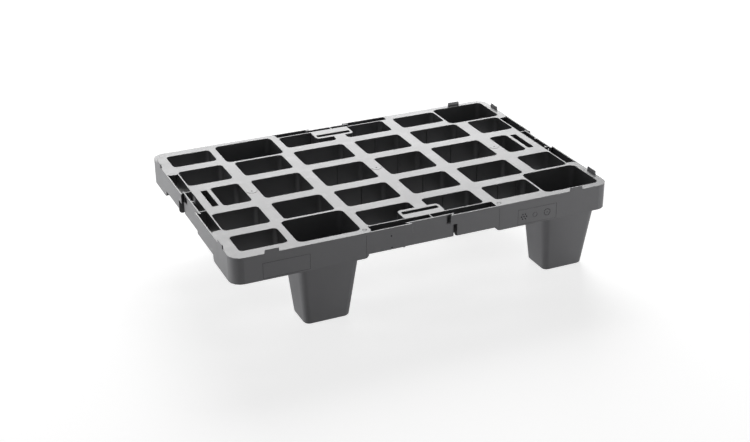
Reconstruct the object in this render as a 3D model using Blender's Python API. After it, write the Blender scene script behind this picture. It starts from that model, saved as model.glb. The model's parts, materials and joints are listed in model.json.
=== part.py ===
"""Nestable quarter pallet, moulded in one piece from dark grey polypropylene.

The deck is a grid of hollow bands round through-openings. Each band is a channel that is
open below, between thin walls. Four tapered feet are hollow and open upwards, so that
pallets nest in each other. A skirt runs round the edge. It is deep at the corners and
shallower between them, where forks come in. Behind it a long slot is open on each side.
At the middle of each side a recess takes the clip that joins it to a neighbouring pallet.
The recess is a T seen from outside: below it is wide, and above it narrows between two
tabs whose slanted webs make an undercut. One lower end of each recess is open between
the recessed wall and a plate with a round bottom, for the clip's hook.

The frame: +X along the long side, +Y from the front to the back, +Z up. The origin is
under the middle of the plan, at the level of the soles.
"""

import math

import bmesh
import bpy

MM = 0.001

# Walls
WALL = 2.0 * MM
SKIN = 3.0 * MM
FOOT_WALL = 2.2 * MM
FOOT_NECK_WALL = 3.5 * MM
SOLE = 3.0 * MM

# Deck openings along X: a rim, the columns A to F with a band between each two, a rim
RIM_LEFT = 19.0 * MM
COLUMN_A = 71.0 * MM
COLUMN_B = 79.0 * MM
COLUMN_C = 86.5 * MM
COLUMN_D = 80.0 * MM
COLUMN_E = 87.0 * MM
COLUMN_F = 58.0 * MM
RIM_RIGHT = 18.5 * MM
BAND = 20.0 * MM
WIDE_BAND = 21.0 * MM

# Deck openings along Y: a rim, the rows 1 to 5 with a band between each two, a rim
RIM_FRONT = 20.0 * MM
ROW_1 = 49.5 * MM
ROW_2 = 59.5 * MM
ROW_3 = 69.5 * MM
ROW_4 = 58.5 * MM
ROW_5 = 46.5 * MM
RIM_BACK = 16.5 * MM

# Heights and drops below the deck
HEIGHT = 140.0 * MM
CORNER_DROP = 40.0 * MM
LONG_SIDE_DROP = 34.0 * MM
SHORT_SIDE_DROP = 30.0 * MM
GRID_DROP = 38.0 * MM

# Plan radii
CORNER_RADIUS = 18.0 * MM
OPENING_RADIUS = 6.5 * MM
FOOT_RADIUS = 9.0 * MM

# Foot pockets, as the margins that they leave round them
POCKET_LEFT_OVERLAP = 9.0 * MM
POCKET_RIGHT_OVERLAP = 7.5 * MM
POCKET_FRONT_RIM = 11.5 * MM
POCKET_BACK_RIM = 9.0 * MM
POCKET_RIGHT_RIM = 11.0 * MM
POCKET_FRONT_DEPTH = 74.0 * MM
POCKET_BACK_DEPTH = 70.5 * MM
POCKET_F_WIDTH = 93.5 * MM
POCKET_RIB = 4.5 * MM
POCKET_SIDE_RIB = 2.8 * MM

# Soles, each shifted from the middle of its pocket to the left and towards the middle in Y
SOLE_LENGTH_LEFT = 70.3 * MM
SOLE_LENGTH_RIGHT = 69.0 * MM
SOLE_WIDTH = 53.0 * MM
SOLE_SHIFT_LEFT = 1.7 * MM
SOLE_SHIFT_RIGHT = 0.4 * MM
SOLE_INSET = 1.5 * MM
SOLE_CHAMFER = 1.5 * MM

# Side slots between the skirt and the grid, and the raised stretches of the skirt
FRONT_SLOT_LEFT = -92.0 * MM
FRONT_SLOT_RIGHT = 106.0 * MM
SIDE_SLOT_FRONT = -105.0 * MM
SIDE_SLOT_BACK = 109.0 * MM
SLOT_FLARE = 6.0 * MM
RAISE_LEFT = -98.0 * MM
RAISE_RIGHT = 106.0 * MM
RAISE_FRONT = -116.0 * MM
RAISE_BACK = 121.0 * MM
RAISE_RADIUS = 6.0 * MM

# The clip recess in the middle of each side, from its middle to its ends as seen from outside
RECESS_DEPTH = 5.0 * MM
LONG_RECESS_DROP = 36.5 * MM
SHORT_RECESS_DROP = 34.5 * MM
UNDERCUT = 5.0 * MM
TAB_DROP = 15.0 * MM
LONG_RECESS_LEFT = 29.8 * MM
LONG_RECESS_RIGHT = 30.5 * MM
LONG_RECESS_LOW_LEFT = 41.0 * MM
LONG_RECESS_LOW_RIGHT = 41.2 * MM
SHORT_RECESS_LEFT = 34.5 * MM
SHORT_RECESS_RIGHT = 34.0 * MM
SHORT_RECESS_LOW_LEFT = 50.0 * MM
SHORT_RECESS_LOW_RIGHT = 43.0 * MM
WINDOW_BAR = 3.0 * MM
WINDOW_DROP = 13.0 * MM
LONG_WINDOW_START = 27.8 * MM
LONG_WINDOW_END = 34.0 * MM
SHORT_WINDOW_START = 22.0 * MM
SHORT_WINDOW_END = 36.0 * MM
LONG_HOOK_GAP = 3.0 * MM
SHORT_HOOK_GAP = 11.0 * MM
HOOK_PLATE_DEPTH = 10.0 * MM
HOOK_PLATE_WIDTH = 2.4 * MM
LONG_HOOK_PLATE_DROP = 35.5 * MM
SHORT_HOOK_PLATE_DROP = 37.7 * MM
CROSS_RIB_WIDTH = 1.8 * MM
LONG_CROSS_RIB = 4.5 * MM
SHORT_CROSS_RIB_FRONT = -35.0 * MM
SHORT_CROSS_RIB_BACK = 39.0 * MM
TOOTH_PLACE = 4.5 * MM
TOOTH_DEPTH = 3.5 * MM
TOOTH_WIDTH = 8.0 * MM

# Hand grips on the long sides and strap slots on the short sides
GRIP_LEFT = -34.0 * MM
GRIP_RIGHT = 32.0 * MM
GRIP_REACH = 47.0 * MM
GRIP_INNER_BAR = 6.0 * MM
GRIP_END_BAR = 4.0 * MM
GRIP_SLOT_WIDTH = 9.0 * MM
STRAP_SLOT_WIDTH = 10.0 * MM
STRAP_SLOT_LENGTH = 60.0 * MM
STRAP_SLOT_RIM = 10.5 * MM
STRAP_SLOT_BAR = 6.0 * MM

# Stacking lips that stand on the rim
LIP_LENGTH = 21.0 * MM
LIP_HEIGHT = 5.3 * MM
LIP_TAPER = 0.6 * MM
LIP_FOOTING = 6.0 * MM
LONG_SIDE_LIP = 241.5 * MM
SIDE_LIP_FRONT = -151.3 * MM
SIDE_LIP_BACK = 156.5 * MM

# Webs across the bands below, each with an upright rib on the wall at either end. A web's
# place is how far it stands from the middle of its column, band by band from the front.
WALL_RIB_WIDTH = 4.0 * MM
WALL_RIB_DEPTH = 1.2 * MM
WEB_WIDTH = 1.8 * MM
WEB_DROP = 22.0 * MM
WEB_PLACES = {
    "C": [[], [5.5 * MM], [3.5 * MM], []],
    "D": [[-0.5 * MM], [5.8 * MM], [5.3 * MM], [0.5 * MM]],
    "E": [[-10.5 * MM, 21.0 * MM], [-3.5 * MM], [-3.2 * MM], [-8.0 * MM]],
}

# Cutters and kept blanks run past the faces that they cut by this much
CLEAR = 5.0 * MM
ARC_STEPS = 4

# Edges that turn more than this stay sharp, and rounder ones are shaded smooth
SHARP_ANGLE = math.radians(30.0)

COLUMN_SIZES = [COLUMN_A, COLUMN_B, COLUMN_C, COLUMN_D, COLUMN_E, COLUMN_F]
ROW_SIZES = [ROW_1, ROW_2, ROW_3, ROW_4, ROW_5]
COLUMN_GAPS = [BAND, BAND, BAND, BAND, WIDE_BAND]
ROW_GAPS = [BAND, BAND, BAND, BAND]
LENGTH = RIM_LEFT + sum(COLUMN_SIZES) + sum(COLUMN_GAPS) + RIM_RIGHT
DEPTH = RIM_FRONT + sum(ROW_SIZES) + sum(ROW_GAPS) + RIM_BACK
LEFT, RIGHT = -LENGTH / 2, LENGTH / 2
FRONT, BACK = -DEPTH / 2, DEPTH / 2


def spans(start, sizes, gaps):
    """Returns the low and high edge of each size, laid out from start with gaps between."""
    edges = []
    low = start
    for size, gap in zip(sizes, gaps + [0.0]):
        edges.append((low, low + size))
        low += size + gap
    return edges


COLUMNS = dict(zip("ABCDEF", spans(LEFT + RIM_LEFT, COLUMN_SIZES, COLUMN_GAPS)))
ROWS = dict(zip("12345", spans(FRONT + RIM_FRONT, ROW_SIZES, ROW_GAPS)))

POCKETS_X = {
    "B": (COLUMNS["B"][0] - POCKET_LEFT_OVERLAP, COLUMNS["B"][1] + POCKET_RIGHT_OVERLAP),
    "F": (RIGHT - POCKET_RIGHT_RIM - POCKET_F_WIDTH, RIGHT - POCKET_RIGHT_RIM),
}
POCKETS_Y = {
    "1": (FRONT + POCKET_FRONT_RIM, FRONT + POCKET_FRONT_RIM + POCKET_FRONT_DEPTH),
    "5": (BACK - POCKET_BACK_RIM - POCKET_BACK_DEPTH, BACK - POCKET_BACK_RIM),
}
SOLE_LENGTHS = {"B": SOLE_LENGTH_LEFT, "F": SOLE_LENGTH_RIGHT}
SOLE_SHIFTS_X = {"B": -SOLE_SHIFT_LEFT, "F": -SOLE_SHIFT_RIGHT}
SOLE_SHIFTS_Y = {"1": SOLE_INSET, "5": -SOLE_INSET}


def opening_box(column, row):
    """Returns the plan box of a deck opening: x low, x high, y low, y high."""
    x_low, x_high = COLUMNS[column]
    y_low, y_high = ROWS[row]
    if column in POCKETS_X and row == "2":
        y_low = POCKETS_Y["1"][1] + POCKET_RIB
    if column in POCKETS_X and row == "4":
        y_high = POCKETS_Y["5"][0] - POCKET_RIB
    if column == "E" and row in POCKETS_Y:
        x_high = POCKETS_X["F"][0] - POCKET_SIDE_RIB
    if column == "A" and row == "3":
        x_low += STRAP_SLOT_RIM + STRAP_SLOT_WIDTH + STRAP_SLOT_BAR
    if column == "F" and row == "3":
        x_high -= STRAP_SLOT_RIM + STRAP_SLOT_WIDTH + STRAP_SLOT_BAR
    return x_low, x_high, y_low, y_high


OPENINGS = [
    opening_box(column, row)
    for column in COLUMNS
    for row in ROWS
    if not (column in POCKETS_X and row in POCKETS_Y)
]
POCKETS = {
    column + row: (*POCKETS_X[column], *POCKETS_Y[row])
    for column in POCKETS_X
    for row in POCKETS_Y
}


def grown(box, margin):
    """Returns the plan box with each side moved outwards by the margin."""
    x_low, x_high, y_low, y_high = box
    return x_low - margin, x_high + margin, y_low - margin, y_high + margin


def rounded(box, radius):
    """Returns the corner-rounded outline of a plan box, anticlockwise."""
    x_low, x_high, y_low, y_high = box
    corners = [
        (x_high - radius, y_high - radius, 0.0),
        (x_low + radius, y_high - radius, 0.5),
        (x_low + radius, y_low + radius, 1.0),
        (x_high - radius, y_low + radius, 1.5),
    ]
    points = []
    for x, y, start in corners:
        for step in range(ARC_STEPS + 1):
            angle = math.pi * (start + 0.5 * step / ARC_STEPS)
            points.append((x + radius * math.cos(angle), y + radius * math.sin(angle)))
    return points


def square(box):
    """Returns the outline of a plan box, anticlockwise."""
    x_low, x_high, y_low, y_high = box
    return [(x_low, y_low), (x_high, y_low), (x_high, y_high), (x_low, y_high)]


def skin(mesh, loops):
    """Adds a closed solid through loops of points, each with as many points as the next."""
    rings = [[mesh.verts.new(point) for point in loop] for loop in loops]
    for near, far in zip(rings, rings[1:]):
        for i, vertex in enumerate(near):
            following = (i + 1) % len(near)
            mesh.faces.new((vertex, near[following], far[following], far[i]))
    mesh.faces.new(list(reversed(rings[0])))
    mesh.faces.new(rings[-1])


def loft(mesh, rings):
    """Adds a closed solid through rings, each an outline and its height, from the lowest up."""
    skin(mesh, [[(x, y, z) for x, y in outline] for outline, z in rings])


def prism(mesh, outline, low, high):
    """Adds an upright prism on an outline."""
    loft(mesh, [(outline, low), (outline, high)])


def add_object(name, mesh, helper=True):
    """Returns a new object of the mesh, out of the render when it only helps to cut."""
    bmesh.ops.recalc_face_normals(mesh, faces=mesh.faces)
    data = bpy.data.meshes.new(name)
    mesh.to_mesh(data)
    mesh.free()
    thing = bpy.data.objects.new(name, data)
    bpy.context.scene.collection.objects.link(thing)
    if helper:
        thing.hide_render = True
        thing.display_type = "WIRE"
    return thing


def boolean(thing, other, operation):
    """Adds a Boolean modifier with an object or a collection as its operand."""
    modifier = thing.modifiers.new(operation.lower(), "BOOLEAN")
    modifier.operation = operation
    modifier.solver = "EXACT"
    if isinstance(other, bpy.types.Collection):
        modifier.operand_type = "COLLECTION"
        modifier.collection = other
    else:
        modifier.object = other
    return modifier


class Side:
    """One side of the pallet. A place along it is its X or Y, and a depth is behind its face."""

    def __init__(self, name, slot_depth):
        self.name = name
        self.slot_depth = slot_depth
        self.is_long = name in ("front", "back")
        self.hand = 1.0 if name in ("front", "right") else -1.0
        if self.is_long:
            self.drop = LONG_SIDE_DROP
            self.recess_drop = LONG_RECESS_DROP
            self.hook_plate_drop = LONG_HOOK_PLATE_DROP
            self.slot = (FRONT_SLOT_LEFT, FRONT_SLOT_RIGHT)
            self.raise_span = (RAISE_LEFT, RAISE_RIGHT)
            self.cross_ribs = [LONG_CROSS_RIB]
            self.recess = (-LONG_RECESS_LEFT, LONG_RECESS_RIGHT)
            self.recess_low = (-LONG_RECESS_LOW_LEFT, LONG_RECESS_LOW_RIGHT)
            self.hook_gap = LONG_HOOK_GAP
            self.window = (LONG_WINDOW_START, LONG_WINDOW_END)
        else:
            self.drop = SHORT_SIDE_DROP
            self.recess_drop = SHORT_RECESS_DROP
            self.hook_plate_drop = SHORT_HOOK_PLATE_DROP
            self.slot = (SIDE_SLOT_FRONT, SIDE_SLOT_BACK)
            self.raise_span = (RAISE_FRONT, RAISE_BACK)
            self.cross_ribs = [SHORT_CROSS_RIB_FRONT, SHORT_CROSS_RIB_BACK]
            self.recess = (-SHORT_RECESS_LEFT, SHORT_RECESS_RIGHT)
            self.recess_low = (-SHORT_RECESS_LOW_LEFT, SHORT_RECESS_LOW_RIGHT)
            self.hook_gap = -SHORT_HOOK_GAP
            self.window = (-SHORT_WINDOW_START, -SHORT_WINDOW_END)

    def point(self, place, depth):
        """Returns the plan point at a place along the side and a depth behind its face."""
        if self.name == "front":
            return place, FRONT + depth
        if self.name == "back":
            return place, BACK - depth
        if self.name == "left":
            return LEFT + depth, place
        return RIGHT - depth, place

    def outline(self, points):
        """Returns the plan outline of points along and behind the face."""
        return [self.point(place, depth) for place, depth in points]

    def block(self, start, end, near, far):
        """Returns the plan outline of a block along and behind the face."""
        return self.outline([(start, near), (end, near), (end, far), (start, far)])

    def recess_outline(self, points):
        """Returns a plan outline whose places run from left to right as seen from outside."""
        return self.outline([(place * self.hand, depth) for place, depth in points])

    def recess_block(self, start, end, near, far):
        """Returns a block whose places run from left to right as seen from outside."""
        return self.block(start * self.hand, end * self.hand, near, far)


def slot_outline(side):
    """Returns the slot's outline, which flares at the skirt where the deck's corners are round."""
    low, high = side.slot
    near = WALL
    far = side.slot_depth - WALL
    points = [(low, far + WALL / 2), (high, far + WALL / 2)]
    for step in range(ARC_STEPS + 1):
        angle = 0.5 * math.pi * step / ARC_STEPS
        reach = SLOT_FLARE * (1.0 - math.cos(angle))
        points.append((high + reach, near + SLOT_FLARE * (1.0 - math.sin(angle))))
    for step in range(ARC_STEPS, -1, -1):
        angle = 0.5 * math.pi * step / ARC_STEPS
        reach = SLOT_FLARE * (1.0 - math.cos(angle))
        points.append((low - reach, near + SLOT_FLARE * (1.0 - math.sin(angle))))
    return side.outline(points)


SIDES = [
    Side("front", RIM_FRONT),
    Side("back", RIM_BACK),
    Side("left", RIM_LEFT),
    Side("right", RIM_RIGHT),
]


def keep_mesh(collection, name, mesh):
    """Adds a blank that stays solid when the hollow under the deck is taken out."""
    blank = add_object(name, mesh)
    bpy.context.scene.collection.objects.unlink(blank)
    collection.objects.link(blank)


def keep(collection, name, outline, low, high=HEIGHT + 2 * CLEAR):
    """Adds an upright blank on an outline."""
    mesh = bmesh.new()
    prism(mesh, outline, low, high)
    keep_mesh(collection, name, mesh)


def keep_recess(collection, side):
    """Keeps the walls round one side's clip recess, with the ribs that hold them."""
    back = RECESS_DEPTH + WALL
    deep = side.slot_depth - WALL / 2
    tab_low = HEIGHT - TAB_DROP
    low = HEIGHT - side.recess_drop
    left, right = side.recess
    foot_left, foot_right = left - UNDERCUT, right + UNDERCUT
    wall = side.recess_block(foot_left - WALL, foot_right + WALL, RECESS_DEPTH, back)
    keep(collection, side.name + "_recess_wall", wall, tab_low)
    low_left, low_right = side.recess_low
    wall_left, wall_right = low_left - WALL, low_right + WALL
    if side.hook_gap > 0.0:
        wall_right = low_right - side.hook_gap
        web = side.recess_block(wall_left, low_left, 0.0, back)
    else:
        wall_left = low_left - side.hook_gap
        web = side.recess_block(low_right, wall_right, 0.0, back)
    low_wall = side.recess_block(wall_left, wall_right, RECESS_DEPTH, back)
    keep(collection, side.name + "_recess_low_wall", low_wall, low, tab_low + WALL)
    keep(collection, side.name + "_recess_low_web", web, low, tab_low + WALL)
    for end, foot, outward in ((left, foot_left, -WALL), (right, foot_right, WALL)):
        corners = [(end, 0.0), (end + outward, 0.0), (foot + 2 * outward, back), (foot, back)]
        keep(collection, f"{side.name}_web_{end:.3f}", side.recess_outline(corners), tab_low)
    for place in side.cross_ribs:
        edges = (place - CROSS_RIB_WIDTH / 2, place + CROSS_RIB_WIDTH / 2)
        rib = side.block(*edges, back - WALL / 2, deep)
        keep(collection, f"{side.name}_cross_rib_{place:.3f}", rib, low)
    if not side.is_long:
        half = TOOTH_WIDTH / 2
        tip = (TOOTH_PLACE - half / 2, back + TOOTH_DEPTH)
        root = back - WALL / 2
        tooth = side.outline([(TOOTH_PLACE - half, root), tip, (TOOTH_PLACE + half, root)])
        keep(collection, side.name + "_tooth", tooth, low)


def hook_plate_profile(side):
    """Returns the points of a hook plate with a round bottom, each a depth and a height."""
    radius = HOOK_PLATE_DEPTH / 2
    centre = HEIGHT - side.hook_plate_drop + radius
    top = HEIGHT - TAB_DROP + WALL
    profile = [(HOOK_PLATE_DEPTH, top), (0.0, top)]
    for step in range(2 * ARC_STEPS + 1):
        angle = math.pi * (1.0 + 0.5 * step / ARC_STEPS)
        profile.append((radius + radius * math.cos(angle), centre + radius * math.sin(angle)))
    return profile


def hook_plates():
    """Returns the plates beside the gaps for the clips' hooks."""
    mesh = bmesh.new()
    for side in SIDES:
        left, right = side.recess_low
        inner, outer = right, right + HOOK_PLATE_WIDTH
        if side.hook_gap < 0.0:
            inner, outer = left, left - HOOK_PLATE_WIDTH
        profile = hook_plate_profile(side)
        loops = []
        for place in (inner, outer):
            loops.append([(*side.point(place * side.hand, depth), z) for depth, z in profile])
        skin(mesh, loops)
    return add_object("hook_plates", mesh)


def kept_blanks():
    """Returns the collection of everything that stays solid under the deck."""
    collection = bpy.data.collections.new("kept")
    bpy.context.scene.collection.children.link(collection)
    grid_low = HEIGHT - GRID_DROP
    for number, box in enumerate(OPENINGS):
        outline = rounded(grown(box, WALL), OPENING_RADIUS + WALL)
        keep(collection, f"opening_wall_{number}", outline, grid_low)
    for name, box in POCKETS.items():
        outline = rounded(grown(box, FOOT_NECK_WALL), FOOT_RADIUS + FOOT_NECK_WALL)
        keep(collection, f"pocket_collar_{name}", outline, HEIGHT - POCKET_RIB - SKIN)
    for side in SIDES:
        low, high = side.raise_span
        inner = side.slot_depth - WALL
        rib = side.block(low - WALL, high + WALL, inner, inner + WALL)
        keep(collection, side.name + "_slot_rib", rib, grid_low)
        for end, step in ((low, -WALL), (high, WALL)):
            edges = sorted([end, end + step])
            web = side.block(*edges, 0.0, inner + WALL / 2)
            keep(collection, f"{side.name}_corner_web_{end:.3f}", web, HEIGHT - side.drop)
            plate = side.block(*edges, 0.0, HOOK_PLATE_DEPTH)
            low_plate = f"{side.name}_corner_plate_{end:.3f}"
            keep(collection, low_plate, plate, HEIGHT - CORNER_DROP - CLEAR, HEIGHT - side.drop + WALL)
        keep_recess(collection, side)
    keep_webs(collection)
    for name, box in strap_slots().items():
        keep(collection, name + "_wall", rounded(grown(box, WALL), 2 * WALL), grid_low)
    for name, box in grip_blocks().items():
        keep(collection, name, square(box), grid_low)
    return collection


def web_places():
    """Yields the place of each web along X, with the edges of the rows in front and behind."""
    rows = list(ROWS.values())
    for column, bands in WEB_PLACES.items():
        middle = sum(COLUMNS[column]) / 2
        for places, front_row, back_row in zip(bands, rows, rows[1:]):
            for place in places:
                yield middle + place, front_row[1], back_row[0]


def keep_webs(collection):
    """Keeps the stiffening webs across the bands."""
    for number, (x, front, back) in enumerate(web_places()):
        box = (x - WEB_WIDTH / 2, x + WEB_WIDTH / 2, front + WALL / 2, back - WALL / 2)
        keep(collection, f"web_{number}", square(box), HEIGHT - WEB_DROP)


def strap_slots():
    """Returns the plan boxes of the strap slots on the short sides."""
    middle = sum(ROWS["3"]) / 2
    y_low = middle - STRAP_SLOT_LENGTH / 2
    y_high = middle + STRAP_SLOT_LENGTH / 2
    left = COLUMNS["A"][0] + STRAP_SLOT_RIM
    right = COLUMNS["F"][1] - STRAP_SLOT_RIM
    return {
        "strap_slot_left": (left, left + STRAP_SLOT_WIDTH, y_low, y_high),
        "strap_slot_right": (right - STRAP_SLOT_WIDTH, right, y_low, y_high),
    }


def grip_slots():
    """Returns the plan boxes of the hand grips' slots on the long sides."""
    x_low = GRIP_LEFT + GRIP_END_BAR
    x_high = GRIP_RIGHT - GRIP_END_BAR
    inner = GRIP_REACH - GRIP_INNER_BAR
    outer = inner - GRIP_SLOT_WIDTH
    return {
        "grip_slot_front": (x_low, x_high, FRONT + outer, FRONT + inner),
        "grip_slot_back": (x_low, x_high, BACK - inner, BACK - outer),
    }


def grip_blocks():
    """Returns the plan boxes of the solid bars round each grip's slot."""
    outer = GRIP_REACH - GRIP_INNER_BAR - GRIP_SLOT_WIDTH - WALL
    return {
        "grip_front": (GRIP_LEFT, GRIP_RIGHT, FRONT + outer, FRONT + GRIP_REACH),
        "grip_back": (GRIP_LEFT, GRIP_RIGHT, BACK - GRIP_REACH, BACK - outer),
    }


def grip_islands():
    """Returns the plan boxes that the grips take out of the openings beside them."""
    return [
        (GRIP_LEFT, GRIP_RIGHT, FRONT + RIM_FRONT - WALL, FRONT + GRIP_REACH),
        (GRIP_LEFT, GRIP_RIGHT, BACK - GRIP_REACH, BACK - RIM_BACK + WALL),
    ]


def hollow_under_deck():
    """Returns the space under the deck and in the side slots, with the kept blanks left out."""
    inside = (LEFT + WALL, RIGHT - WALL, FRONT + WALL, BACK - WALL)
    mesh = bmesh.new()
    outline = rounded(inside, CORNER_RADIUS - WALL)
    prism(mesh, outline, HEIGHT - CORNER_DROP - CLEAR, HEIGHT - SKIN)
    hollow = add_object("hollow", mesh)
    mesh = bmesh.new()
    for side in SIDES:
        prism(mesh, slot_outline(side), HEIGHT - SKIN - CLEAR, HEIGHT + CLEAR)
    boolean(hollow, add_object("slots", mesh), "UNION")
    boolean(hollow, kept_blanks(), "DIFFERENCE")
    return hollow


def wall_ribs(mesh):
    """Adds the upright ribs on the opening walls at both ends of each web."""
    half = WALL_RIB_WIDTH / 2
    for x, front, back in web_places():
        for edges in ((front - WALL_RIB_DEPTH, front + WALL / 2), (back - WALL / 2, back + WALL_RIB_DEPTH)):
            prism(mesh, square((x - half, x + half, *edges)), 0.0, HEIGHT - SKIN)


def opening_cutters():
    """Returns the cutter of every opening in the deck, with grips and wall ribs left standing."""
    low = HEIGHT - CORNER_DROP - CLEAR
    mesh = bmesh.new()
    for box in OPENINGS:
        prism(mesh, rounded(box, OPENING_RADIUS), low, HEIGHT + CLEAR)
    cutter = add_object("openings", mesh)
    mesh = bmesh.new()
    for box in grip_islands():
        prism(mesh, rounded(box, OPENING_RADIUS), 0.0, HEIGHT + 2 * CLEAR)
    boolean(cutter, add_object("grip_islands", mesh), "DIFFERENCE")
    mesh = bmesh.new()
    wall_ribs(mesh)
    boolean(cutter, add_object("wall_ribs", mesh), "DIFFERENCE")
    return cutter


def slot_cutters():
    """Returns the cutter of the strap slots, the grip slots and the hollows behind the grips."""
    low = HEIGHT - CORNER_DROP - CLEAR
    mesh = bmesh.new()
    for box in [*strap_slots().values(), *grip_slots().values()]:
        prism(mesh, rounded(box, WALL), low, HEIGHT + CLEAR)
    outer = GRIP_REACH - GRIP_INNER_BAR - GRIP_SLOT_WIDTH - WALL
    x_low, x_high = GRIP_LEFT + WALL, GRIP_RIGHT - WALL
    front = (x_low, x_high, FRONT + RIM_FRONT, FRONT + outer)
    back = (x_low, x_high, BACK - outer, BACK - RIM_BACK)
    for box in (front, back):
        prism(mesh, square(box), low, HEIGHT - SKIN)
    return add_object("slot_cutters", mesh)


def raise_ends(side):
    """Yields the gaps that round the bottom corners beside a raised stretch, seen square on."""
    bottom = HEIGHT - CORNER_DROP
    for end, outward in zip(side.raise_span, (-1.0, 1.0)):
        profile = [(end - outward * WALL, bottom - CLEAR), (end - outward * WALL, bottom + RAISE_RADIUS)]
        for step in range(ARC_STEPS + 1):
            angle = 0.5 * math.pi * step / ARC_STEPS
            place = end + outward * RAISE_RADIUS * (1.0 - math.cos(angle))
            profile.append((place, bottom + RAISE_RADIUS * (1.0 - math.sin(angle))))
        profile.append((end + outward * RAISE_RADIUS, bottom - CLEAR))
        yield profile


def side_cutters():
    """Returns the cutters of the recesses, of the raised stretches and of the clip windows."""
    tabs = bmesh.new()
    lows = bmesh.new()
    raises = bmesh.new()
    rounds = bmesh.new()
    windows = bmesh.new()
    for side in SIDES:
        left, right = side.recess
        dovetail = [
            (left, -CLEAR),
            (right, -CLEAR),
            (right, 0.0),
            (right + UNDERCUT, RECESS_DEPTH),
            (left - UNDERCUT, RECESS_DEPTH),
            (left, 0.0),
        ]
        outline = side.recess_outline(dovetail)
        prism(tabs, outline, HEIGHT - TAB_DROP - CLEAR, HEIGHT + 2 * CLEAR)
        low_block = side.recess_block(*side.recess_low, -CLEAR, RECESS_DEPTH)
        prism(lows, low_block, HEIGHT - CORNER_DROP - CLEAR, HEIGHT - TAB_DROP)
        stretch = side.block(*side.raise_span, -CLEAR, WALL + WALL / 4)
        prism(raises, stretch, HEIGHT - CORNER_DROP - CLEAR, HEIGHT - side.drop)
        for profile in raise_ends(side):
            loops = []
            for depth in (-CLEAR, HOOK_PLATE_DEPTH + WALL):
                loops.append([(*side.point(place, depth), z) for place, z in profile])
            skin(rounds, loops)
        near, far = RECESS_DEPTH - WALL / 4, RECESS_DEPTH + WALL + WALL / 4
        window = side.recess_block(*side.window, near, far)
        prism(windows, window, HEIGHT - WINDOW_DROP, HEIGHT - WINDOW_BAR)
    named = {
        "tab_gaps": tabs,
        "low_gaps": lows,
        "raises": raises,
        "raise_rounds": rounds,
        "clip_windows": windows,
    }
    return [add_object(name, mesh) for name, mesh in named.items()]


def foot_centre(column, row):
    """Returns the middle of a foot's sole."""
    x_low, x_high, y_low, y_high = POCKETS[column + row]
    x = (x_low + x_high) / 2 + SOLE_SHIFTS_X[column]
    y = (y_low + y_high) / 2 + SOLE_SHIFTS_Y[row]
    return x, y


def sole_box(column, row, margin):
    """Returns the plan box of a sole, grown by the margin."""
    x, y = foot_centre(column, row)
    half_length = SOLE_LENGTHS[column] / 2
    half_width = SOLE_WIDTH / 2
    return grown((x - half_length, x + half_length, y - half_width, y + half_width), margin)


def feet():
    """Returns the outer skins of the four feet and the cutter of their pockets."""
    skins = bmesh.new()
    pockets = bmesh.new()
    for column in POCKETS_X:
        for row in POCKETS_Y:
            pocket = POCKETS[column + row]
            inner_radius = FOOT_RADIUS - FOOT_WALL
            tread = rounded(sole_box(column, row, -SOLE_CHAMFER), FOOT_RADIUS - SOLE_CHAMFER)
            edge = rounded(sole_box(column, row, 0.0), FOOT_RADIUS)
            neck = rounded(grown(pocket, FOOT_NECK_WALL), FOOT_RADIUS + FOOT_NECK_WALL)
            rings = [(tread, 0.0), (edge, SOLE_CHAMFER), (neck, HEIGHT - SKIN / 2)]
            loft(skins, rings)
            floor = rounded(sole_box(column, row, -FOOT_WALL), inner_radius)
            mouth = rounded(pocket, FOOT_RADIUS)
            loft(pockets, [(floor, SOLE), (mouth, HEIGHT), (mouth, HEIGHT + CLEAR)])
    return add_object("foot_skins", skins), add_object("pocket_cutters", pockets)


def lips():
    """Returns the lips on the rim, rooted in the skirt below them."""
    mesh = bmesh.new()
    places = {
        "front": (-LONG_SIDE_LIP, LONG_SIDE_LIP),
        "back": (LONG_SIDE_LIP,),
        "left": (SIDE_LIP_FRONT, SIDE_LIP_BACK),
        "right": (SIDE_LIP_FRONT, SIDE_LIP_BACK),
    }
    for side in SIDES:
        for place in places[side.name]:
            low, high = place - LIP_LENGTH / 2, place + LIP_LENGTH / 2
            base = side.block(low, high, 0.0, WALL)
            top = side.block(low + LIP_TAPER, high - LIP_TAPER, 0.0, WALL - LIP_TAPER)
            rings = [(base, HEIGHT - LIP_FOOTING), (base, HEIGHT), (top, HEIGHT + LIP_HEIGHT)]
            loft(mesh, rings)
    return add_object("lips", mesh)


def shade(thing):
    """Turns the modelled result into the object's own mesh, smooth between its sharp edges."""
    evaluated = thing.evaluated_get(bpy.context.evaluated_depsgraph_get())
    result = bpy.data.meshes.new_from_object(evaluated)
    thing.modifiers.clear()
    thing.data = result
    result.name = thing.name
    result.shade_smooth()
    result.set_sharp_from_angle(angle=SHARP_ANGLE)


def polypropylene():
    """Returns the dark grey polypropylene of the moulding."""
    material = bpy.data.materials.new("grey_polypropylene")
    material.use_nodes = True
    shader = material.node_tree.nodes["Principled BSDF"]
    shader.inputs["Base Color"].default_value = (0.115, 0.115, 0.117, 1.0)
    shader.inputs["Roughness"].default_value = 0.42
    shader.inputs["Metallic"].default_value = 0.0
    return material


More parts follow.
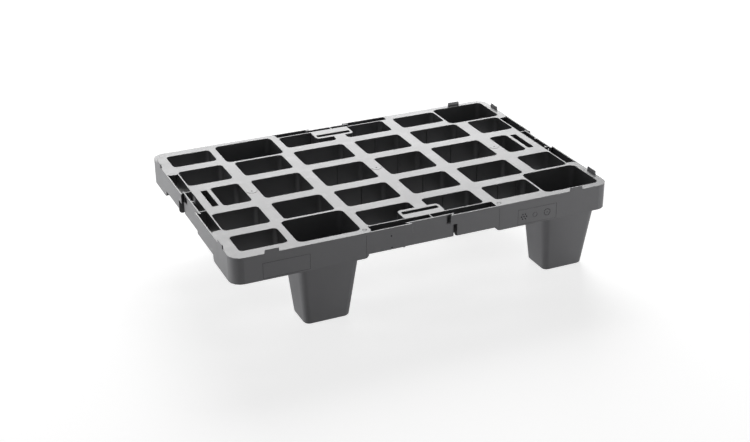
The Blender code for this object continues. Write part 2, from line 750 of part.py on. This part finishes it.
def build():
    """Models the pallet as one object."""
    for thing in list(bpy.data.objects):
        bpy.data.objects.remove(thing)
    mesh = bmesh.new()
    outline = rounded((LEFT, RIGHT, FRONT, BACK), CORNER_RADIUS)
    prism(mesh, outline, HEIGHT - CORNER_DROP, HEIGHT)
    pallet = add_object("pallet", mesh, helper=False)
    boolean(pallet, lips(), "UNION")
    boolean(pallet, hollow_under_deck(), "DIFFERENCE")
    skins, pockets = feet()
    boolean(pallet, skins, "UNION")
    for cutter in (pockets, opening_cutters(), slot_cutters(), *side_cutters()):
        boolean(pallet, cutter, "DIFFERENCE")
    boolean(pallet, hook_plates(), "UNION")
    shade(pallet)
    pallet.data.materials.clear()
    pallet.data.materials.append(polypropylene())
    return pallet


build()
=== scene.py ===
"""The nestable quarter pallet of dark grey polypropylene, in a white studio."""

import json
import logging
import math
from dataclasses import dataclass, field
from enum import Enum
from typing import Any

import bmesh
import bpy
from mathutils import Matrix, Vector

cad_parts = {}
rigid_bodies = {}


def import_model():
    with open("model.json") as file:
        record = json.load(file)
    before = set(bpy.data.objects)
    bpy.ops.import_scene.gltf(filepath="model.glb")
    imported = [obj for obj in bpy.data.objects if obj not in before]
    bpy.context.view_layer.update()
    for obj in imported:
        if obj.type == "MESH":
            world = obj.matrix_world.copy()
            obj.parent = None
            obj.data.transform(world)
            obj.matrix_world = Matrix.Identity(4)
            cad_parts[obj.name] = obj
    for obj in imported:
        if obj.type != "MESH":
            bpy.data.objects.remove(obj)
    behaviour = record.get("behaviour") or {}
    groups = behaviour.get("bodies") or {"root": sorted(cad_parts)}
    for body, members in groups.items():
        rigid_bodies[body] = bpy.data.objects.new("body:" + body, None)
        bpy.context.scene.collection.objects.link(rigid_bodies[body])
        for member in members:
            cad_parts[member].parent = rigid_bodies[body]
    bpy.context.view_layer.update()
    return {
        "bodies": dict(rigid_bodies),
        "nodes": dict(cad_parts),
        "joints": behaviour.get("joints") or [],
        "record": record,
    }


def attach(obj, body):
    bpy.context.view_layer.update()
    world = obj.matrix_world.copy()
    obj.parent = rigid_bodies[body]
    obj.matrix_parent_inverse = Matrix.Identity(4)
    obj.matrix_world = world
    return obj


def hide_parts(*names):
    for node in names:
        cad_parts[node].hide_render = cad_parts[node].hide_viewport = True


LOG = logging.getLogger("pallet")

MM = 0.001
WHITE = (1.0, 1.0, 1.0, 1.0)
Socket = bpy.types.NodeSocket


def linear(code: str) -> tuple[float, float, float, float]:
    """Turns an sRGB hex colour to the linear colour that a socket takes.

    Args:
        code: The colour as #RRGGBB.

    Returns:
        The linear red, green, blue and an alpha of 1.
    """
    channels = []
    for start in (1, 3, 5):
        value = int(code[start : start + 2], 16) / 255.0
        # The two parts of the standard sRGB curve
        low = value <= 0.04045
        channels.append(value / 12.92 if low else ((value + 0.055) / 1.055) ** 2.4)
    return channels[0], channels[1], channels[2], 1.0


def add_node(
    tree: bpy.types.NodeTree,
    kind: str,
    settings: dict[str, Any] | None = None,
    inputs: dict[str | int, Any] | None = None,
) -> bpy.types.Node:
    """Adds a shader node with its settings, values and links.

    Args:
        tree: The node tree that gets it.
        kind: The node's type name.
        settings: Attributes of the node.
        inputs: For each input, a value or the output socket that feeds it.

    Returns:
        The new node.
    """
    node = tree.nodes.new(kind)
    for name, value in (settings or {}).items():
        setattr(node, name, value)
    for name, value in (inputs or {}).items():
        if isinstance(value, bpy.types.NodeSocket):
            tree.links.new(value, node.inputs[name])
        else:
            node.inputs[name].default_value = value
    return node


def new_tree(material: bpy.types.Material) -> bpy.types.NodeTree:
    """Empties a material's node tree.

    Args:
        material: The material, fresh from Blender.

    Returns:
        Its node tree, with no nodes.
    """
    material.use_nodes = True
    material.node_tree.nodes.clear()
    return material.node_tree


class Face(Enum):
    """A flat side of the moulding that marks are cut into."""

    DECK = "deck"
    FRONT = "front"


@dataclass(frozen=True)
class MouldedPolypropylene:
    """Dark grey injection-moulded polypropylene, with a mould's fine matt grain.

    It gives the eye a soft, waxy sheen that is strong at a low angle, faint flow lines
    where the melt met, and pale scuffs on the deck where loads slide.
    """

    base: str = "#646466"
    pale: str = "#6F6F71"
    scuff: str = "#8A8A8B"
    # The colour of the painted shade that creases and marks darken to, found by ambient
    # occlusion
    painted_shade: str = "#161617"
    # The middle of the moulding is the middle of the patterns
    centre: tuple[float, float, float] = (0.0, 0.0, -0.07)

    cloud_mm: float = 90.0
    cloud_detail: float = 3.0

    flow_mm: float = 34.0
    flow_detail: float = 4.0
    flow_distortion: float = 0.8
    flow_stretch: tuple[float, float, float] = (0.35, 1.0, 0.6)

    scuff_mm: float = 26.0
    scuff_detail: float = 6.0
    # The noise where a scuff starts and where it is full, and how much it then covers
    scuff_span: tuple[float, float] = (0.52, 0.78)
    scuff_cover: float = 0.5
    # How straight up a face looks where scuffs start and where they are full
    upward_span: tuple[float, float] = (0.85, 0.98)

    # How far the painted crease shade reaches, and the openness that is fully shaded
    # and that is not shaded
    painted_shade_mm: float = 2.2
    painted_shade_span: tuple[float, float] = (0.4, 0.85)
    painted_shade_samples: int = 8

    # The real grain is 0.3 mm across, and it is drawn coarser so that it shows
    grain_mm: float = 1.1
    grain_detail: float = 2.0
    grain_depth_mm: float = 0.03
    grain_strength: float = 0.5

    # The edges are shaded as rounded by half a millimetre, which catches a thin light
    edge_mm: float = 0.5
    edge_samples: int = 6

    roughness: float = 0.40
    roughness_spread: float = 0.08
    specular: float = 0.36
    ior: float = 1.49

    def make(self) -> bpy.types.Material:
        """Builds the material.

        Returns:
            The material for every face of the moulding.
        """
        material = bpy.data.materials.new("injection_moulded_PP_dark_grey")
        tree = new_tree(material)
        place = add_node(
            tree,
            "ShaderNodeMapping",
            inputs={
                "Vector": add_node(tree, "ShaderNodeTexCoord").outputs["Object"],
                "Location": self.centre,
            },
        ).outputs["Vector"]
        colour: Any = linear(self.base)
        for share, over in (
            (self.cloud(tree, place), self.pale),
            (self.scuffs(tree, place), self.scuff),
            # Painted shade darkens the creases and fine marks, where ambient occlusion
            # finds them closed in
            (self.painted_crease_shade(tree), self.painted_shade),
        ):
            colour = add_node(
                tree,
                "ShaderNodeMix",
                {"data_type": "RGBA"},
                {0: share, 6: colour, 7: linear(over)},
            ).outputs[2]
        rough = add_node(
            tree,
            "ShaderNodeMapRange",
            inputs={
                "Value": self.flow(tree, place),
                "To Min": self.roughness - self.roughness_spread / 2,
                "To Max": self.roughness + self.roughness_spread / 2,
            },
        ).outputs["Result"]
        shader = add_node(
            tree,
            "ShaderNodeBsdfPrincipled",
            inputs={
                "Base Color": colour,
                "Roughness": rough,
                "IOR": self.ior,
                "Specular IOR Level": self.specular,
                "Normal": self.grain(tree, place),
            },
        ).outputs["BSDF"]
        add_node(tree, "ShaderNodeOutputMaterial", inputs={"Surface": shader})
        return material

    def cloud(self, tree: bpy.types.NodeTree, place: Socket) -> Socket:
        """Draws a soft, large unevenness of the pigment.

        Args:
            tree: The material's node tree.
            place: The place on the moulding.

        Returns:
            How pale each place is.
        """
        noise = add_node(
            tree,
            "ShaderNodeTexNoise",
            inputs={
                "Vector": place,
                "Scale": 1.0 / (self.cloud_mm * MM),
                "Detail": self.cloud_detail,
            },
        )
        return noise.outputs["Fac"]

    def flow(self, tree: bpy.types.NodeTree, place: Socket) -> Socket:
        """Draws the streaks that the melt leaves as it runs along the bands.

        Args:
            tree: The material's node tree.
            place: The place on the moulding.

        Returns:
            How matt each place is.
        """
        stretched = add_node(
            tree,
            "ShaderNodeMapping",
            inputs={"Vector": place, "Scale": self.flow_stretch},
        ).outputs["Vector"]
        noise = add_node(
            tree,
            "ShaderNodeTexNoise",
            inputs={
                "Vector": stretched,
                "Scale": 1.0 / (self.flow_mm * MM),
                "Detail": self.flow_detail,
                "Distortion": self.flow_distortion,
            },
        )
        return noise.outputs["Fac"]

    def scuffs(self, tree: bpy.types.NodeTree, place: Socket) -> Socket:
        """Draws the scuffs on the faces that look up.

        Args:
            tree: The material's node tree.
            place: The place on the moulding.

        Returns:
            How much each place is scuffed.
        """
        noise = add_node(
            tree,
            "ShaderNodeTexNoise",
            inputs={
                "Vector": place,
                "Scale": 1.0 / (self.scuff_mm * MM),
                "Detail": self.scuff_detail,
            },
        )
        patches = add_node(
            tree,
            "ShaderNodeMapRange",
            inputs={
                "Value": noise.outputs["Fac"],
                "From Min": self.scuff_span[0],
                "From Max": self.scuff_span[1],
                "To Max": self.scuff_cover,
            },
        ).outputs["Result"]
        normal = add_node(tree, "ShaderNodeNewGeometry").outputs["Normal"]
        upward = add_node(
            tree,
            "ShaderNodeMapRange",
            inputs={
                "Value": add_node(
                    tree, "ShaderNodeSeparateXYZ", inputs={"Vector": normal}
                ).outputs["Z"],
                "From Min": self.upward_span[0],
                "From Max": self.upward_span[1],
            },
        ).outputs["Result"]
        both = add_node(
            tree, "ShaderNodeMath", {"operation": "MULTIPLY"}, {0: patches, 1: upward}
        )
        return both.outputs["Value"]

    def painted_crease_shade(self, tree: bpy.types.NodeTree) -> Socket:
        """Paints shade into the creases and fine marks, where ambient occlusion finds
        them closed in.

        Args:
            tree: The material's node tree.

        Returns:
            How much painted shade each place gets, which is much inside a crease or a
            mark.
        """
        openness = add_node(
            tree,
            "ShaderNodeAmbientOcclusion",
            {"samples": self.painted_shade_samples},
            {"Distance": self.painted_shade_mm * MM},
        ).outputs["AO"]
        painted_darkness = add_node(
            tree,
            "ShaderNodeMapRange",
            inputs={
                "Value": openness,
                "From Min": self.painted_shade_span[0],
                "From Max": self.painted_shade_span[1],
                "To Min": 1.0,
                "To Max": 0.0,
            },
        )
        return painted_darkness.outputs["Result"]

    def grain(self, tree: bpy.types.NodeTree, place: Socket) -> Socket:
        """Draws the mould's grain on faces whose edges are a little rounded.

        Args:
            tree: The material's node tree.
            place: The place on the moulding.

        Returns:
            The direction of the surface.
        """
        edges = add_node(
            tree,
            "ShaderNodeBevel",
            {"samples": self.edge_samples},
            {"Radius": self.edge_mm * MM},
        )
        noise = add_node(
            tree,
            "ShaderNodeTexNoise",
            inputs={
                "Vector": place,
                "Scale": 1.0 / (self.grain_mm * MM),
                "Detail": self.grain_detail,
            },
        )
        bump = add_node(
            tree,
            "ShaderNodeBump",
            inputs={
                "Strength": self.grain_strength,
                "Distance": self.grain_depth_mm * MM,
                "Height": noise.outputs["Fac"],
                "Normal": edges.outputs["Normal"],
            },
        )
        return bump.outputs["Normal"]


@dataclass(frozen=True)
class StudioFloor:
    """White painted studio floor, matt, which shows as white and keeps the shadow.

    It is clear from below, so that the soles and the bands can be seen from there.
    """

    paint: str = "#C4C4C4"
    roughness: float = 0.9
    # How much the floor glows for the eye and for reflections
    lift: float = 0.76
    # Where the lift starts to rise to pure white and where it is white, in metres from
    # the middle, with each axis counted alike
    fade: tuple[float, float] = (1.0, 3.0)
    fade_stretch: tuple[float, float, float] = (1.0, 1.0, 1.0)
    # The level of the pallet's shade in reflections, and where it starts to end and
    # ends, in metres along Y, with X counted less because the pallet is longer there
    shade: float = 0.25
    shade_span: tuple[float, float] = (0.16, 0.30)
    shade_stretch: tuple[float, float, float] = (0.667, 1.0, 1.0)

    def make(self) -> bpy.types.Material:
        """Builds the material.

        Returns:
            The floor's material, which glows for the eye and for reflections only.
        """
        material = bpy.data.materials.new("matt_white_floor_paint")
        tree = new_tree(material)
        path = add_node(tree, "ShaderNodeLightPath").outputs
        shaded = self.ramp(
            tree, self.shade_stretch, self.shade_span, (self.shade, 1.0)
        )
        rising = self.ramp(tree, self.fade_stretch, self.fade, (self.lift, 1.0))
        level = path["Is Glossy Ray"]
        for operation, other in (
            ("MAXIMUM", path["Is Transmission Ray"]),
            ("MULTIPLY", shaded),
            ("MAXIMUM", path["Is Camera Ray"]),
            ("MULTIPLY", rising),
        ):
            level = add_node(
                tree, "ShaderNodeMath", {"operation": operation}, {0: level, 1: other}
            ).outputs["Value"]
        shader = add_node(
            tree,
            "ShaderNodeBsdfPrincipled",
            inputs={
                "Base Color": linear(self.paint),
                "Roughness": self.roughness,
                "Emission Color": WHITE,
                "Emission Strength": level,
            },
        ).outputs["BSDF"]
        below = add_node(tree, "ShaderNodeNewGeometry").outputs["Backfacing"]
        clear = add_node(tree, "ShaderNodeBsdfTransparent").outputs["BSDF"]
        sides = add_node(
            tree, "ShaderNodeMixShader", inputs={0: below, 1: shader, 2: clear}
        ).outputs["Shader"]
        add_node(tree, "ShaderNodeOutputMaterial", inputs={"Surface": sides})
        return material

    def ramp(
        self,
        tree: bpy.types.NodeTree,
        stretch: tuple[float, float, float],
        span: tuple[float, float],
        levels: tuple[float, float],
    ) -> Socket:
        """Draws a level that changes with the distance from the middle of the floor.

        Args:
            tree: The material's node tree.
            stretch: How much each axis counts.
            span: Where the change starts and ends, in metres.
            levels: The level inside and outside.

        Returns:
            The level at each place.
        """
        place = add_node(
            tree,
            "ShaderNodeMapping",
            inputs={
                "Vector": add_node(tree, "ShaderNodeTexCoord").outputs["Object"],
                "Scale": stretch,
            },
        ).outputs["Vector"]
        away = add_node(
            tree, "ShaderNodeVectorMath", {"operation": "LENGTH"}, {0: place}
        )
        level = add_node(
            tree,
            "ShaderNodeMapRange",
            inputs={
                "Value": away.outputs["Value"],
                "From Min": span[0],
                "From Max": span[1],
                "To Min": levels[0],
                "To Max": levels[1],
            },
        )
        return level.outputs["Result"]


@dataclass
class Engraving:
    """The cutter of the fine marks that the mould leaves, gathered as one mesh."""

    # The faces that get marks: the deck's height and the front's Y
    deck: float = 0.14
    front: float = -0.2
    dot_depth_mm: float = 1.5
    dot_corners: int = 12
    # How much narrower a dot's floor and wider its far end are than its radius
    dot_taper: float = 0.2
    ring_line_mm: float = 0.8
    ring_steps: int = 32
    line_depth_mm: float = 0.4
    line_width_mm: float = 0.48
    weld_mm: float = 0.001
    mesh: bmesh.types.BMesh = field(default_factory=bmesh.new)

    def seat(self, face: Face, x: float, other: float) -> Matrix:
        """Returns the turn and place of a mark drawn flat and centred.

        Args:
            face: The side that gets it.
            x: Its place along X in millimetres.
            other: Its Y on the deck, or its drop below the deck on the front, in
                millimetres.

        Returns:
            The matrix from the mark's own frame, whose Z points out of the surface.
        """
        if face is Face.DECK:
            return Matrix.Translation((x * MM, other * MM, self.deck))
        turn = Matrix.Rotation(math.radians(90.0), 4, "X")
        return Matrix.Translation((x * MM, self.front, self.deck - other * MM)) @ turn

    def dot(self, seat: Matrix, x: float, y: float, radius_mm: float) -> None:
        """Cuts a small round dimple at a place in a mark's own frame.

        Args:
            seat: The mark's matrix.
            x: The place along the mark's X, in millimetres.
            y: The place along the mark's Y, in millimetres.
            radius_mm: The dimple's radius.
        """
        bmesh.ops.create_cone(
            self.mesh,
            cap_ends=True,
            segments=self.dot_corners,
            radius1=radius_mm * MM * (1.0 - self.dot_taper),
            radius2=radius_mm * MM * (1.0 + self.dot_taper),
            depth=2 * self.dot_depth_mm * MM,
            matrix=seat @ Matrix.Translation((x * MM, y * MM, 0.0)),
        )

    def ring(self, seat: Matrix, radius_mm: float, half: bool = False) -> None:
        """Cuts a thin round line, or only its half towards the mark's lower side.

        Args:
            seat: The mark's matrix.
            radius_mm: The line's radius.
            half: Whether only the lower half is cut.
        """
        made = bmesh.new()
        # Half a step of turn keeps the ring's corners off the plane that halves it
        start = Matrix.Rotation(math.pi / self.ring_steps, 4, "Z")
        middle = start @ Matrix.Translation((radius_mm * MM, 0.0, 0.0))
        stand = Matrix.Rotation(math.radians(90.0), 4, "X")
        square = Matrix.Rotation(math.radians(45.0), 4, "Z")
        bmesh.ops.create_circle(
            made,
            segments=4,
            radius=self.ring_line_mm * MM * math.sqrt(0.5),
            matrix=middle @ stand @ square,
        )
        bmesh.ops.spin(
            made,
            geom=made.verts[:] + made.edges[:],
            axis=(0.0, 0.0, 1.0),
            cent=(0.0, 0.0, 0.0),
            angle=math.tau,
            steps=self.ring_steps,
            use_merge=True,
        )
        bmesh.ops.remove_doubles(made, verts=made.verts, dist=self.weld_mm * MM)
        if half:
            bmesh.ops.bisect_plane(
                made,
                geom=made.verts[:] + made.edges[:] + made.faces[:],
                plane_co=(0.0, 0.0, 0.0),
                plane_no=(0.0, 1.0, 0.0),
                clear_outer=True,
            )
            open_edges = [edge for edge in made.edges if edge.is_boundary]
            bmesh.ops.holes_fill(made, edges=open_edges, sides=0)
        bmesh.ops.recalc_face_normals(made, faces=made.faces)
        self.take(made, seat)

    def outline(self, seat: Matrix, width_mm: float, height_mm: float) -> None:
        """Cuts the thin square line that a mould insert leaves round itself.

        Args:
            seat: The mark's matrix, at the insert's middle.
            width_mm: The insert's width.
            height_mm: The insert's height.
        """
        made = bmesh.new()
        size = Matrix.Diagonal((width_mm * MM, height_mm * MM, 1.0, 1.0))
        low = Matrix.Translation((0.0, 0.0, -self.line_depth_mm * MM))
        grid = bmesh.ops.create_grid(
            made, x_segments=1, y_segments=1, size=0.5, matrix=low @ size
        )
        sheet = grid["verts"][0].link_faces[0]
        rim = bmesh.ops.inset_region(
            made, faces=[sheet], thickness=self.line_width_mm * MM, use_boundary=True
        )["faces"]
        bmesh.ops.delete(made, geom=[sheet], context="FACES_ONLY")
        raised = bmesh.ops.extrude_face_region(made, geom=rim, use_keep_orig=True)
        tops = [item for item in raised["geom"] if isinstance(item, bmesh.types.BMVert)]
        bmesh.ops.translate(
            made, verts=tops, vec=(0.0, 0.0, 2 * self.line_depth_mm * MM)
        )
        bmesh.ops.recalc_face_normals(made, faces=made.faces)
        self.take(made, seat)

    def line(self, seat: Matrix, height_mm: float) -> None:
        """Cuts a thin upright line, where two parts of the mould meet.

        Args:
            seat: The mark's matrix, at the line's middle.
            height_mm: The line's length.
        """
        width = self.line_width_mm * MM
        size = Matrix.Diagonal((width, height_mm * MM, width, 1.0))
        bmesh.ops.create_cube(self.mesh, size=1.0, matrix=seat @ size)

    def take(self, made: bmesh.types.BMesh, seat: Matrix) -> None:
        """Moves a finished mark to its seat and adds it to the cutter.

        Args:
            made: The mark in its own frame, which is used up.
            seat: The mark's matrix.
        """
        bmesh.ops.transform(made, matrix=seat, verts=made.verts)
        data = bpy.data.meshes.new("mark")
        made.to_mesh(data)
        made.free()
        self.mesh.from_mesh(data)
        bpy.data.meshes.remove(data)

    def cut(self, piece: bpy.types.Object) -> None:
        """Cuts the gathered marks into a piece and takes the cutter away.

        Args:
            piece: The object whose mesh gets the marks.
        """
        data = bpy.data.meshes.new("marks")
        self.mesh.to_mesh(data)
        self.mesh.free()
        cutter = bpy.data.objects.new("marks", data)
        bpy.context.scene.collection.objects.link(cutter)
        modifier = piece.modifiers.new("marks", "BOOLEAN")
        modifier.operation = "DIFFERENCE"
        modifier.solver = "EXACT"
        modifier.object = cutter
        graph = bpy.context.evaluated_depsgraph_get()
        result = bpy.data.meshes.new_from_object(piece.evaluated_get(graph))
        piece.modifiers.clear()
        old = piece.data
        piece.data = result
        bpy.data.meshes.remove(old)
        bpy.data.objects.remove(cutter)
        bpy.data.meshes.remove(data)


@dataclass(frozen=True)
class Insert:
    """A square mould insert on the front, in millimetres along X and below the deck."""

    left: float
    right: float
    top: float
    bottom: float


@dataclass(frozen=True)
class Dial:
    """A plain date dial on the front: a ring of dots with one in the middle."""

    x: float
    dots: int
    radius: float
    dot_radius: float


@dataclass
class MouldMarks:
    """The gate discs, ejector marks, insert lines and plain dials, in millimetres."""

    gates: tuple[tuple[float, float], ...] = ((-200.0, 2.2), (5.5, 4.4), (213.0, 1.5))
    gate_radius: float = 8.0
    gate_dot: float = 1.15
    ejectors: tuple[tuple[float, float], ...] = ((-100.5, -190.0), (113.9, -191.6))
    ejector_radius: float = 3.0
    pins: tuple[tuple[float, float], ...] = ((-63.4, 12.7), (-62.6, 31.0))
    pin_radius: float = 1.1
    inserts: tuple[Insert, ...] = (
        Insert(-256.0, -186.5, 14.0, 37.5),
        Insert(142.0, 208.0, 14.0, 38.0),
    )
    # Where two parts of the mould meet: the place along X and the line's two ends
    joints: tuple[tuple[float, float, float], ...] = (
        (-102.0, 4.0, 38.0),
        (110.5, 4.0, 38.0),
    )
    # The dials and the plain ring between them, all at one drop below the deck
    drop: float = 26.0
    dials: tuple[Dial, ...] = (Dial(192.0, 12, 5.0, 0.8), Dial(152.5, 6, 4.3, 1.15))
    plain_ring: float = 171.0
    plain_radius: float = 3.6

    def engrave(self, engraving: Engraving) -> None:
        """Draws every mark.

        Args:
            engraving: The cutter that gathers them.
        """
        for x, y in self.gates:
            seat = engraving.seat(Face.DECK, x, y)
            engraving.ring(seat, self.gate_radius, half=True)
            engraving.dot(seat, 0.0, 0.0, self.gate_dot)
        for x, y in self.ejectors:
            engraving.ring(engraving.seat(Face.DECK, x, y), self.ejector_radius)
        for x, drop in self.pins:
            seat = engraving.seat(Face.FRONT, x, drop)
            engraving.dot(seat, 0.0, 0.0, self.pin_radius)
        for insert in self.inserts:
            across = (insert.left + insert.right) / 2
            down = (insert.top + insert.bottom) / 2
            width, height = insert.right - insert.left, insert.bottom - insert.top
            engraving.outline(engraving.seat(Face.FRONT, across, down), width, height)
        for x, top, bottom in self.joints:
            seat = engraving.seat(Face.FRONT, x, (top + bottom) / 2)
            engraving.line(seat, bottom - top)
        for dial in self.dials:
            self.draw_dial(engraving, dial)
        seat = engraving.seat(Face.FRONT, self.plain_ring, self.drop)
        engraving.ring(seat, self.plain_radius)

    def draw_dial(self, engraving: Engraving, dial: Dial) -> None:
        """Draws a dial's dots.

        Args:
            engraving: The cutter that gathers them.
            dial: The dial.
        """
        seat = engraving.seat(Face.FRONT, dial.x, self.drop)
        engraving.dot(seat, 0.0, 0.0, dial.dot_radius)
        for number in range(dial.dots):
            angle = math.tau * number / dial.dots
            across, up = dial.radius * math.cos(angle), dial.radius * math.sin(angle)
            engraving.dot(seat, across, up, dial.dot_radius)


@dataclass
class Moulding:
    """The one-piece moulding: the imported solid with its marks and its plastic."""

    node: bpy.types.Object
    weld_mm: float = 0.01
    sharp: float = math.radians(30.0)
    # Faces that look along an axis to this cosine are flat, and the others are rounds
    flat: float = 0.9998
    finish: MouldedPolypropylene = MouldedPolypropylene()
    marks: MouldMarks = field(default_factory=MouldMarks)

    def build(self) -> bpy.types.Object:
        """Makes the finished piece in the node's place.

        Returns:
            The moulding's object.
        """
        mesh = bmesh.new()
        mesh.from_mesh(self.node.data)
        bmesh.ops.remove_doubles(mesh, verts=mesh.verts, dist=self.weld_mm * MM)
        data = bpy.data.meshes.new("pallet_moulding")
        mesh.to_mesh(data)
        mesh.free()
        piece = bpy.data.objects.new("pallet_moulding", data)
        bpy.context.scene.collection.objects.link(piece)
        engraving = Engraving()
        self.marks.engrave(engraving)
        engraving.cut(piece)
        self.dress(piece)
        return piece

    def dress(self, piece: bpy.types.Object) -> None:
        """Shades the piece, gives it its plastic and puts it in the node's place.

        Args:
            piece: The object to dress.
        """
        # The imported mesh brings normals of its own, which don't fit the marked one
        attributes = piece.data.attributes
        attributes.remove(attributes["custom_normal"])
        piece.data.set_sharp_from_angle(angle=self.sharp)
        for face in piece.data.polygons:
            face.use_smooth = max(abs(part) for part in face.normal) < self.flat
        piece.data.materials.clear()
        piece.data.materials.append(self.finish.make())
        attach(piece, "root")
        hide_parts("pallet")


@dataclass
class Camera:
    """The camera that sees the pallet as the photograph does."""

    place: tuple[float, float, float] = (-0.73954, -1.65396, 0.92358)
    azimuth: float = 24.115
    elevation: float = 25.729
    roll: float = -0.363
    lens: float = 60.95
    sensor: float = 36.0

    def build(self) -> bpy.types.Object:
        """Makes the camera and gives it to the scene.

        Returns:
            The camera's object.
        """
        turn, fall = math.radians(self.azimuth), math.radians(self.elevation)
        level = math.cos(fall)
        ahead = Vector(
            (math.sin(turn) * level, math.cos(turn) * level, -math.sin(fall))
        )
        side = ahead.cross(Vector((0.0, 0.0, 1.0))).normalized()
        frame = Matrix((side, side.cross(ahead), -ahead)).transposed().to_4x4()
        data = bpy.data.cameras.new("camera")
        data.sensor_fit = "HORIZONTAL"
        data.sensor_width = self.sensor
        data.lens = self.lens
        camera = bpy.data.objects.new("camera", data)
        tilt = Matrix.Rotation(math.radians(self.roll), 4, "Z")
        camera.matrix_world = Matrix.Translation(self.place) @ frame @ tilt
        bpy.context.scene.collection.objects.link(camera)
        bpy.context.scene.camera = camera
        return camera


@dataclass(frozen=True)
class Softbox:
    """A soft light that looks at the pallet."""

    name: str
    place: tuple[float, float, float]
    # Its width and height in metres
    size: tuple[float, float]
    watts: float
    aim: tuple[float, float, float] = (0.0, 0.0, 0.08)

    def build(self) -> bpy.types.Object:
        """Makes the light.

        Returns:
            The light's object.
        """
        data = bpy.data.lights.new(self.name, "AREA")
        data.shape = "RECTANGLE"
        data.size, data.size_y = self.size
        data.energy = self.watts
        light = bpy.data.objects.new(self.name, data)
        light.location = self.place
        towards = Vector(self.aim) - Vector(self.place)
        light.rotation_mode = "QUATERNION"
        light.rotation_quaternion = towards.to_track_quat("-Z", "Y")
        bpy.context.scene.collection.objects.link(light)
        return light


@dataclass
class Studio:
    """The white floor, the even sky and the soft lights."""

    floor_size: float = 14.0
    sky: float = 0.045
    finish: StudioFloor = StudioFloor()
    # The left and front lights are strips near the floor, so the openings stay dark
    lights: tuple[Softbox, ...] = (
        Softbox("soft_back", (1.0, 2.6, 1.5), (2.2, 2.2), 98.0),
        Softbox("soft_left", (-2.85, 0.9, 0.12), (0.6, 0.12), 64.0),
        Softbox("soft_front", (2.0, -2.6, 0.12), (0.5, 0.12), 41.0),
    )

    def build(self) -> None:
        """Makes the floor, the sky and the lights."""
        mesh = bmesh.new()
        bmesh.ops.create_grid(
            mesh, x_segments=1, y_segments=1, size=self.floor_size / 2
        )
        data = bpy.data.meshes.new("studio_floor")
        mesh.to_mesh(data)
        mesh.free()
        floor = bpy.data.objects.new("studio_floor", data)
        floor.data.materials.append(self.finish.make())
        bpy.context.scene.collection.objects.link(floor)
        for light in self.lights:
            light.build()
        self.hang_sky()

    def hang_sky(self) -> None:
        """Makes the white surroundings, plain for light and pure white to the eye."""
        world = bpy.data.worlds.new("white_room")
        bpy.context.scene.world = world
        world.use_nodes = True
        tree = world.node_tree
        tree.nodes.clear()
        path = add_node(tree, "ShaderNodeLightPath").outputs
        seen = path["Is Camera Ray"]
        for name in ("Is Glossy Ray", "Is Transmission Ray"):
            seen = add_node(
                tree,
                "ShaderNodeMath",
                {"operation": "MAXIMUM"},
                {0: seen, 1: path[name]},
            ).outputs["Value"]
        strength = add_node(
            tree,
            "ShaderNodeMapRange",
            inputs={"Value": seen, "To Min": self.sky, "To Max": 1.0},
        ).outputs["Result"]
        sky = add_node(
            tree, "ShaderNodeBackground", inputs={"Color": WHITE, "Strength": strength}
        ).outputs["Background"]
        add_node(tree, "ShaderNodeOutputWorld", inputs={"Surface": sky})


def main() -> None:
    """Builds the pallet and its studio, and reports each piece."""
    logging.basicConfig(level=logging.INFO, format="%(message)s")
    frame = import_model()
    Camera().build()
    moulding = Moulding(frame["nodes"]["pallet"]).build()
    LOG.info("%s: %d faces", moulding.name, len(moulding.data.polygons))
    Studio().build()
    LOG.info("studio: floor, sky and lights")
    bpy.context.scene.view_settings.view_transform = "Standard"


if __name__ == "__main__":
    main()
